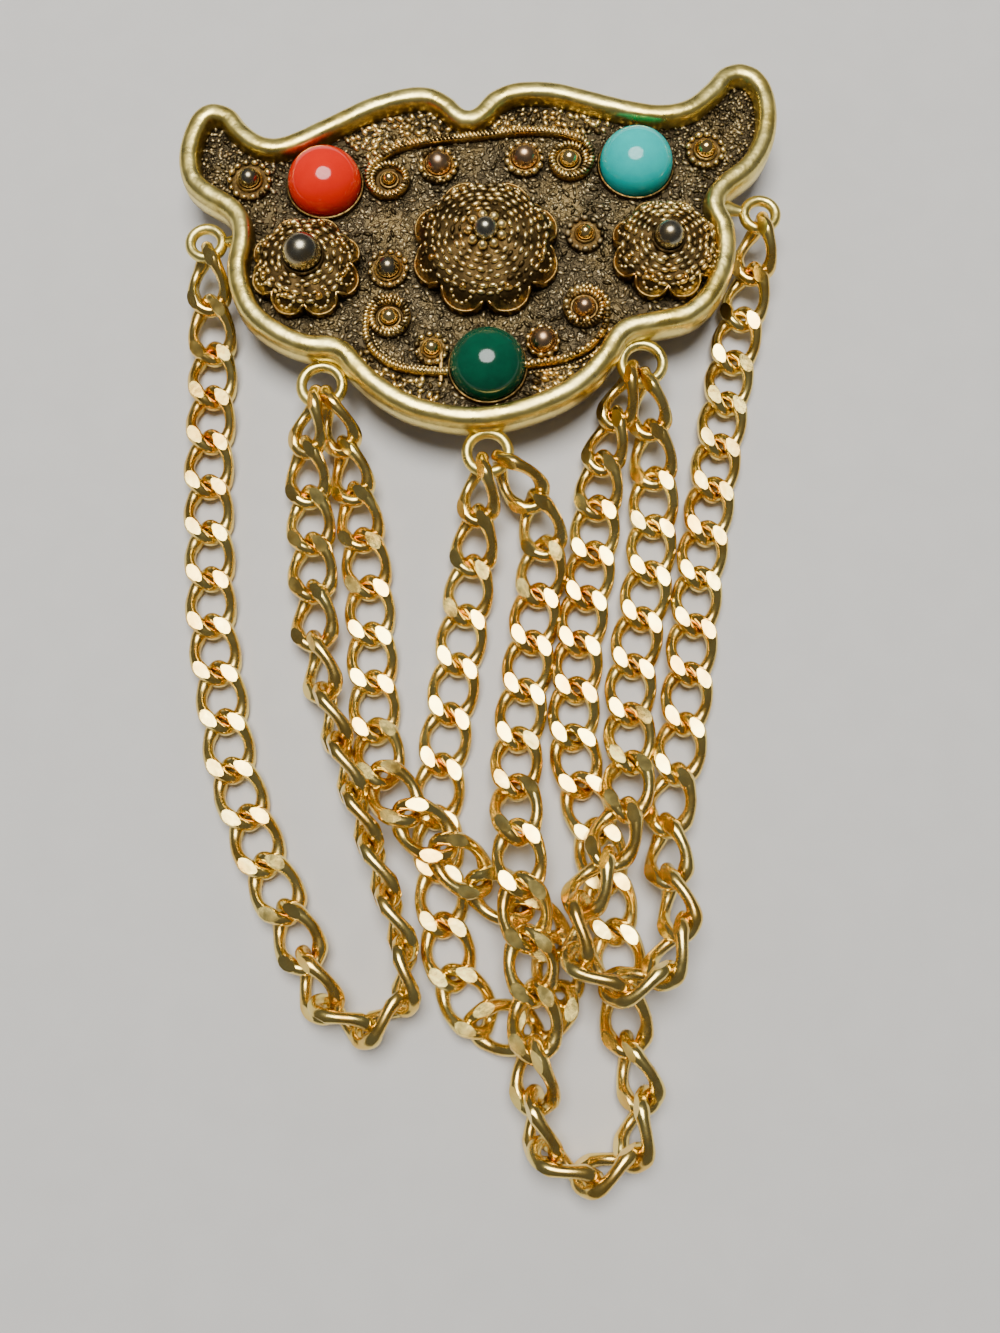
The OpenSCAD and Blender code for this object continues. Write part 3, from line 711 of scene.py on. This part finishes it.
# Small relief: rosettes, curled scroll ends, ribbons and bezels
relief = {
    # place, outer radius, ball radius and kind of ball
    "rosettes": [(-22, 39.8, 2.05, 0.95, "dark"), (20.9, 43, 1.85, 0.85, "gold"), (-8.8, 30.6, 1.9, 1.02, "dark"),
                 (9.4, 34.2, 1.8, 0.7, "gold"), (-4.3, 41.4, 1.85, 1.18, "copper"), (3.8, 42.1, 1.85, 1.2, "copper"),
                 (-4.7, 22.6, 1.6, 0.72, "gold"), (5.4, 23.3, 1.6, 1.18, "copper")],
    "dullRosette": (9.4, 34.2),
    "scrolls": [(-8.9, 39.9, 0.62, "gold"), (8, 42, 0.88, "gold"), (-8.6, 25.7, 0.8, "gold"),
                (9.2, 26.7, 0.98, "copper")],
    "scrollRadius": 1.95, "scrollRope": 1.64, "besideCoil": 2.5, "beside": 0.62,
    "top": coilPoints(-8.9, 39.9, 1.45, 2.1, 420, 130) + [(-8, 43.2), (-5, 43.9), (-1, 44.4), (3, 44.9), (6.3, 44.9)]
           + coilPoints(8, 42, 2.3, 1.45, 65, -230),
    "left": [(-3.3, 20.2), (-5, 20.3), (-7.6, 20.7), (-9.6, 21.9), (-10.6, 23.6)]
            + coilPoints(-8.6, 25.7, 2.1, 1.4, 185, -110),
    "right": [(3.8, 20.9), (5.4, 21.2), (7.4, 21.6), (9.5, 22.7), (10.9, 24.4)]
             + coilPoints(9.2, 26.7, 2.15, 1.4, -15, 280),
    # a ribbon's section, and a bezel's profile
    "ribbon": [(-0.3, -0.3), (-0.3, 0.55), (-0.22, 0.72), (0, 0.8), (0.22, 0.72), (0.3, 0.55), (0.3, -0.3)],
    "bezel": [(3.2, -0.3), (3.7, -0.3), (3.66, 0.25), (3.58, 0.4), (3.48, 0.43), (3.42, 0.32), (3.4, 0.1), (3.2, 0.0),
              (3.2, -0.3)],
    # grains: spacing, length, width, height, slant, unevenness and seed
    "rope": (0.37, 0.34, 0.66, 0.46, 20, 0.14, 21), "beadRow": (0.6, 0.54, 0.6, 0.5, 0, 0.12, 24),
    "edgeGrain": (0.86, 0.64, 0.52, 0.54, 0, 0.28, 22), "fineGrain": (0.36, 0.32, 0.26, 0.26, 0, 0.12, 23),
}

bm = bmesh.new()
balls = {"gold": bmesh.new(), "dark": bmesh.new(), "copper": bmesh.new()}
rosetteLines, dullLines, ropeLines, beadLines, fineLines = [], [], [], [], []
for x, y, big, ball, kind in relief["rosettes"]:
    addTurned(bm, [(0, -sunk), (big, -sunk), (big, 0.2), (big - 0.12, 0.32), (ball + 0.3, 0.36), (ball + 0.15, 0.26),
                   (0, 0.24)], x, y, fieldZ, 32)
    addWire(bm, ringPoints(x, y, fieldZ + 0.42, ball + 0.16, 28), 0.15, 8, closed=True)
    addBall(balls[kind], x, y, fieldZ + 0.62, ball, 12, 22)
    rim = (ringPoints(x, y, fieldZ + 0.46, big - 0.2, 28), True)
    (dullLines if (x, y) == relief["dullRosette"] else rosetteLines).append(rim)
for x, y, ball, kind in relief["scrolls"]:
    big = relief["scrollRadius"]
    addTurned(bm, [(0, -sunk), (big, -sunk), (big, 0.26), (big - 0.15, 0.4), (1.4, 0.42), (1.25, 0.24), (0, 0.2)],
              x, y, fieldZ, 32)
    addWire(bm, ringPoints(x, y, fieldZ + 0.3, ball + 0.2, 30), 0.16, 9, closed=True)
    addBall(balls[kind], x, y, fieldZ + 0.5, ball, 11, 20)
    ropeLines.append((ringPoints(x, y, fieldZ + 0.54, relief["scrollRope"], 40), True))
for route, lines, side in (("top", ropeLines, -1), ("left", ropeLines, 1), ("right", beadLines, 1)):
    line = openCurve(relief[route], 4, fieldZ)
    addStrip(bm, line, relief["ribbon"])
    lines.append(([p + Vector((0, 0, 0.82)) for p in line], False))
    fineLines.append(([p + Vector((along.y, -along.x, 0)) * relief["beside"] * side + Vector((0, 0, 0.12))
                       for p, along in alongLine(line)     # fine granules run beside the ribbon, but not on its coils
                       if min(math.hypot(p.x - x, p.y - y) for x, y, _, _ in relief["scrolls"])
                       >= relief["besideCoil"]], False))
for x, y in stonePlaces.values():
    addTurned(bm, relief["bezel"], x, y, fieldZ, 64)
addBlock(bm, (-4.05, 19.3, fieldZ - 0.2), (-3.6, 22.8, fieldZ + 0.5), 0.16)     # the bar beside the green stone
finishPiece("relief", bm, [castGold], lambda co: (co.z - fieldZ - 0.1) / 0.85, 45)
for kind, finish in (("gold", beadGold), ("dark", ballMetal), ("copper", copperBall)):
    finishPiece("rosette_balls_" + kind, balls[kind], [finish], lambda co: (co.z - fieldZ - 0.3) / 0.7)
grainPiece("rosette_grains", rosetteLines, relief["edgeGrain"], grainGold)
grainPiece("dull_grains", dullLines, relief["edgeGrain"], gritGold)
grainPiece("ribbon_ropes", ropeLines, relief["rope"], grainGold)
grainPiece("bead_row", beadLines, relief["beadRow"], grainGold)
grainPiece("fine_grains", fineLines, relief["fineGrain"], grainGold)


# Seeds strewn in the horns and in the bands beside the ribbons, and grit over the whole ground
seeds = {
    "seed": 5, "lift": 0.05,
    # least distance, size along, across and up, and detail
    "horn": (0.44, (0.5, 0.36, 0.32), 1), "band": (0.52, (0.78, 0.5, 0.52), 2), "grit": (0.62, (0.9, 0.38, 0.24), 1),
    "horns": [
        [(-26.9, 45.6), (-25.6, 45.6), (-24, 44), (-22.6, 42.6), (-20.5, 42), (-19, 41.5), (-19.4, 38.5), (-20, 36.5),
         (-22.5, 36.8), (-24.8, 38.2), (-26.3, 39.8), (-26.9, 42), (-26.9, 44)],
        [(22.6, 49.2), (24.2, 50), (25.4, 49.4), (26, 47.6), (26, 45.5), (25.4, 43.4), (24, 41.3), (21.8, 39.6),
         (20.6, 38.6), (19.4, 39.5), (18.6, 42.6), (18.4, 45.4), (19.6, 46.3), (21.2, 47.4)]],
    "bands": [
        [(-13.6, 44), (-10.5, 46), (-7.4, 47.2), (-5.2, 47.2), (-3.9, 46.4), (-2.2, 45.1), (-5, 44.6), (-8.2, 43.9),
         (-10, 42.4), (-11, 41.5), (-11.6, 43)],
        [(0.2, 45.2), (1.6, 46.4), (3.3, 47.7), (6.6, 47.8), (10, 46.8), (12, 46.4), (11.5, 45.2), (10.2, 44.6),
         (9, 44.6), (6.8, 45.6), (3, 45.6)],
        [(-11.3, 22.3), (-10.7, 21.2), (-9, 19.9), (-6.4, 18), (-3.4, 17), (-3.6, 18), (-3.6, 19.6), (-5, 19.7),
         (-7.8, 20), (-9.9, 21.4), (-10.9, 23)],
        [(4.6, 20.3), (4.4, 18.2), (6.7, 19), (8.8, 20.7), (10.3, 22.3), (11.4, 24), (11.6, 25.4), (11.2, 23.9),
         (9.8, 22), (7.6, 20.9), (5.4, 20.6)]],
}


def strew(name, patches, kind, finish):
    distance, size, detail = seeds[kind]
    bm = bmesh.new()
    for patch in patches:
        bm.faces.new([bm.verts.new((x, y, fieldZ + seeds["lift"])) for x, y in reversed(patch)])
    bmesh.ops.triangulate(bm, faces=bm.faces)
    mesh = meshOf(name, bm)
    mesh.transform(toFrame)
    piece = newObject(name, mesh)
    growNodes(piece, strewnSeeds, {
        "Least Distance": distance * mm, "Seed Length": size[0] * mm, "Seed Width": size[1] * mm,
        "Seed Height": size[2] * mm, "Detail": detail, "Seed": seeds["seed"], "Finish": finish})
    wearOfGrains(piece.data, detail)
    settle(piece)


strew("horn_seeds", seeds["horns"], "horn", gritGold)
strew("strewn_seeds", seeds["bands"], "band", grainGold)
strew("ground_grit", [[(p.x, p.y) for p in insetLoop(outline, 1.95)[::3]]], "grit", gritGold)


# The eyes that carry the chains, each on a lug that widens into the rim
eyes = {
    "height": 3.9, "wire": 0.5, "lug": [0.46, 0.5, 0.58, 0.7, 0.84, 0.95], "lugFlatness": 0.72,
    # place, radius to the middle of the wire, way to the plaque's edge
    "places": [(-26, 33.9, 1.5, (2.8, 0.2)), (-14.7, 19.5, 1.86, (-0.4, 2.6)), (0.4, 13, 1.88, (0, 2.4)),
               (14.5, 21.7, 1.88, (0.2, 2.6)), (26, 36.9, 1.48, (-3, 0.6))],
}
bm = bmesh.new()
for x, y, radius, way in eyes["places"]:
    addWire(bm, ringPoints(x, y, eyes["height"], radius, 44), eyes["wire"], 14, closed=True)
    far = math.hypot(*way)
    ahead = Vector((way[0] / far, way[1] / far, 0))
    start = Vector((x, y, eyes["height"])) + ahead * (radius - 0.1)
    lug = [start + ahead * (far - radius + 0.7) * k / 5 for k in range(6)]
    addWire(bm, lug, eyes["lug"], 12, tall=eyes["lugFlatness"])
finishPiece("chain_eyes", bm, [rimGold], lambda co: 0.35 + (co.z - 3.4), 45)


# The three round stones
stones = {"radius": 3.4, "edge": 0.12, "girdle": 0.7, "height": 3.4,
          "looks": {"coral": coralLook, "turquoise": turquoiseLook, "jade": jadeLook}}
radius, girdle, height = stones["radius"], stones["girdle"], stones["height"]
profile = [(0, 0), (radius - stones["edge"], 0), (radius, stones["edge"]), (radius, girdle)]
profile += [(radius * math.cos(math.radians(a)), girdle + (height - girdle) * math.sin(math.radians(a)))
            for a in range(5, 90, 5)] + [(0, height)]
for colour, (x, y) in stonePlaces.items():
    bm = bmesh.new()
    addTurned(bm, profile, x, y, fieldZ, 72)
    finish = stoneFinish(colour, stones["looks"][colour])
    finishPiece(colour + "_cabochon_polished", bm, [finish], node=colour + "_cabochon")


# The bar pin on the back: bar, hinge with its knuckle, stem and hooked catch
barPin = {"y": 33.0, "half": 19.0, "halfWidth": 2, "thickness": 0.8, "hinge": 2, "stemZ": 1.2, "stem": 0.5,
          "stemShort": 1.2, "hookWall": 0.24, "hookStep": -14}
bm = bmesh.new()
half, y, low = barPin["half"], barPin["y"], backZ - barPin["thickness"]
hingeX, stemZ = -half + barPin["hinge"], barPin["stemZ"]
for reach, (edge, full), sides in (((-1.98, -1.9, 1.9, 1.98), (0.32, 0.45), 18),
                                   ((-0.9, -0.8, 0.8, 0.9), (0.75, 0.9), 22)):
    addWire(bm, [Vector((hingeX, y + side, stemZ)) for side in reach], [edge, full, full, edge], sides)
stemEnd = half - barPin["stemShort"]
stemLine = [Vector((hingeX + (stemEnd + half - barPin["hinge"]) * k / 24, y, stemZ)) for k in range(25)]
addWire(bm, stemLine, [barPin["stem"] * min(1, 0.22 + (24 - k) * 0.14) for k in range(25)], 14)
hook = [Vector((0, y + 1.45, low + 0.2))]
hook += [Vector((0, y + 1.3 * math.cos(a) + 0.15 * (k < 2), 1.5 + 1.25 * math.sin(a)))
         for k, a in enumerate([math.radians(barPin["hookStep"] * n) for n in range(15)])]
rings = []
for p, along in alongLine(hook):     # a strip bent round the stem's tip
    out = Vector((0, along.z, -along.y)) * barPin["hookWall"]
    rings.append([bm.verts.new(Vector((hookX, 0, 0)) + p + out * s) for hookX, s in
                  ((half - 3.4, -1), (half - 3.4, 1), (half - 0.6, 1), (half - 0.6, -1))])
bridgeRings(bm, rings)
addBlock(bm, (-half, y - barPin["halfWidth"], low), (half, y + barPin["halfWidth"], backZ), 0.25)
for cheek in (-1, 1):     # two cheeks with a rivet through them hold the stem's knuckle
    addBlock(bm, (-half + 0.3, y + cheek * 1.45 - 0.45, 0.0), (-half + 3.7, y + cheek * 1.45 + 0.45, low + 0.2), 0.3)
finishPiece("bar_pin_fittings", bm, [pinMetal], angle=35, node="bar_pin")


# The chains: one filed curb link, set where each solid link lies
chainLink = {"length": 6.7, "width": 4.6, "wire": 1.0, "swell": 0.2, "swellAt": 53, "swellReach": 16,
             "endSwell": 0.1, "endReach": 28, "facet": 1.07, "twist": 44, "steps": 40, "sides": 14,
             "sideWear": 0.45, "faceWear": 0.5, "endWear": 0.12}
wire = chainLink["wire"] / 2
longHalf, wideHalf = chainLink["length"] / 2 - wire, chainLink["width"] / 2 - wire


# The wire is thicker at the two ends, and pressed thicker still at the four corners, where it is filed
def wireAt(t):
    corner = abs((math.degrees(t) + 90) % 180 - 90)
    return (wire + chainLink["swell"] * math.exp(-((corner - chainLink["swellAt"]) / chainLink["swellReach"]) ** 2)
            + chainLink["endSwell"] * math.exp(-(corner / chainLink["endReach"]) ** 2))


def loopAt(t):
    twist = -math.radians(chainLink["twist"]) * math.cos(t)
    return Vector((longHalf * math.cos(t), wideHalf * math.sin(t) * math.cos(twist),
                   wideHalf * math.sin(t) * math.sin(twist)))


bm = bmesh.new()
rings = []
for t in turns(chainLink["steps"], 0.5):
    p, along = loopAt(t), (loopAt(t + 0.02) - loopAt(t - 0.02)).normalized()
    out = (p - along * p.dot(along)).normalized()
    up = along.cross(out)
    rings.append([bm.verts.new(p + (out * math.cos(a) + up * math.sin(a)) * wireAt(t))
                  for a in turns(chainLink["sides"])])
bridgeRings(bm, rings, closed=True)
for side in (1, -1):     # file both faces flat
    bmesh.ops.bisect_plane(bm, geom=bm.verts[:] + bm.edges[:] + bm.faces[:], dist=1e-5,
                           plane_co=(0, 0, side * chainLink["facet"]), plane_no=(0, 0, side), clear_outer=True)
    rims = [e for e in bm.edges if e.is_boundary]
    bmesh.ops.holes_fill(bm, edges=rims, sides=0)
    for e in rims:
        e.smooth = False
bmesh.ops.recalc_face_normals(bm, faces=bm.faces)
bmesh.ops.triangulate(bm, faces=[f for f in bm.faces if len(f.verts) > 4])
wearAndShadeValues = [min(1, chainLink["sideWear"] + chainLink["faceWear"] * abs(v.co.z)
            + chainLink["endWear"] * (abs(v.co.x) / 3.4)) for v in bm.verts]
linkMesh = meshOf("link pattern", bm)
writeWearAndShade(linkMesh, wearAndShadeValues)
linkMesh.transform(Matrix.Scale(mm, 4))
linkMesh.shade_smooth()
linkPattern = newObject("link pattern", linkMesh)


# Middle and turn of every link in a chain's solids: the long, wide and thin axes of each loose part
def linkPlaces(node):
    bm = bmesh.new()
    bm.from_mesh(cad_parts[node].data)
    bmesh.ops.remove_doubles(bm, verts=bm.verts, dist=1e-6)
    left = set(bm.verts)
    places = []
    for first in bm.verts:     # in the mesh's own order, the same each run
        if first not in left:
            continue
        left.discard(first)
        part, reach = [], [first]
        while reach:
            v = reach.pop()
            part.append(v.co[:])
            for e in v.link_edges:
                other = e.other_vert(v)
                if other in left:
                    left.discard(other)
                    reach.append(other)
        points = np.array(part)
        middle = points.mean(0)
        axes = np.linalg.eigh(np.cov((points - middle).T))[1]
        x, y = Vector(axes[:, 2]), Vector(axes[:, 1])
        places.append((Vector(middle), Matrix((x, y, x.cross(y))).transposed().to_euler()))
    bm.free()
    return places


for node in ("chain_outer_left", "chain_inner_left", "chain_inner_right", "chain_outer_right"):
    places = linkPlaces(node)
    piece = plainObject(node + "_links", [p for p, turn in places])
    linkTurns = piece.data.attributes.new("linkTurn", "FLOAT_VECTOR", "POINT").data
    linkTurns.foreach_set("vector", [c for p, turn in places for c in turn])
    growNodes(piece, curbLinks, {"Link": linkPattern, "Finish": chainGold})
    settle(piece, node)
    print(node, len(places), "links")
bpy.data.objects.remove(linkPattern)


# Camera, floor and light
view = {"at": (0.00195, -0.027788, 0.096504), "tilt": 11.986, "lens": 29.7, "clip": 0.01}
camera = newObject("camera", bpy.data.cameras.new("camera"))
camera.data.lens = view["lens"]
camera.data.clip_start = view["clip"]
camera.location = view["at"]
camera.rotation_euler = (math.radians(view["tilt"]), 0, 0)
scene.camera = camera

table = {"half": 1.5, "colour": (0.66, 0.65, 0.63), "tint": (0.72, 0.71, 0.69), "cloudSize": 4.0, "roughness": 0.75}
corners = [(x * table["half"], y * table["half"], 0) for x, y in ((-1, -1), (1, -1), (1, 1), (-1, 1))]
floor = plainObject("floor", corners, faces=[(0, 1, 2, 3)])
floorFinish, tree, shader, place = newFinish("pale table")
cloud = noiseNode(tree, place, table["cloudSize"], 4.0)
tree.links.new(mixNode(tree, cloud, table["colour"], table["tint"]), shader["Base Color"])
shader["Roughness"].default_value = table["roughness"]
floor.data.materials.append(floorFinish)

studio = {
    "world": (0.30, 0.30, 0.32), "worldStrength": 0.35,
    # name: place, size across and along, power in watts, colour; all are aimed at the origin
    "lamps": {"overhead": ((-0.02, 0.15, 0.62), (0.40, 0.38), 5.4, (1.0, 0.98, 0.94)),
              "left fill": ((-0.6, 0.0, 0.3), (0.35, 0.35), 0.5, (1.0, 0.96, 0.9)),
              "back fill": ((0.25, 0.75, 0.22), (0.6, 0.2), 0.9, (1.0, 0.97, 0.92))},
}
for name, (at, size, watts, colour) in studio["lamps"].items():
    light = bpy.data.lights.new(name, "AREA")
    light.shape = "ELLIPSE"
    light.size, light.size_y = size
    light.energy = watts
    light.color = colour
    lamp = newObject(name, light)
    lamp.location = at
    lamp.visible_glossy = name == "overhead"     # one highlight on each stone
    lamp.rotation_euler = (-Vector(at)).to_track_quat("-Z", "Y").to_euler()

world = bpy.data.worlds.new("studio")
world.use_nodes = True
background = world.node_tree.nodes["Background"].inputs
background["Color"].default_value = (*studio["world"], 1)
background["Strength"].default_value = studio["worldStrength"]
scene.world = world
print("camera, floor and light set")
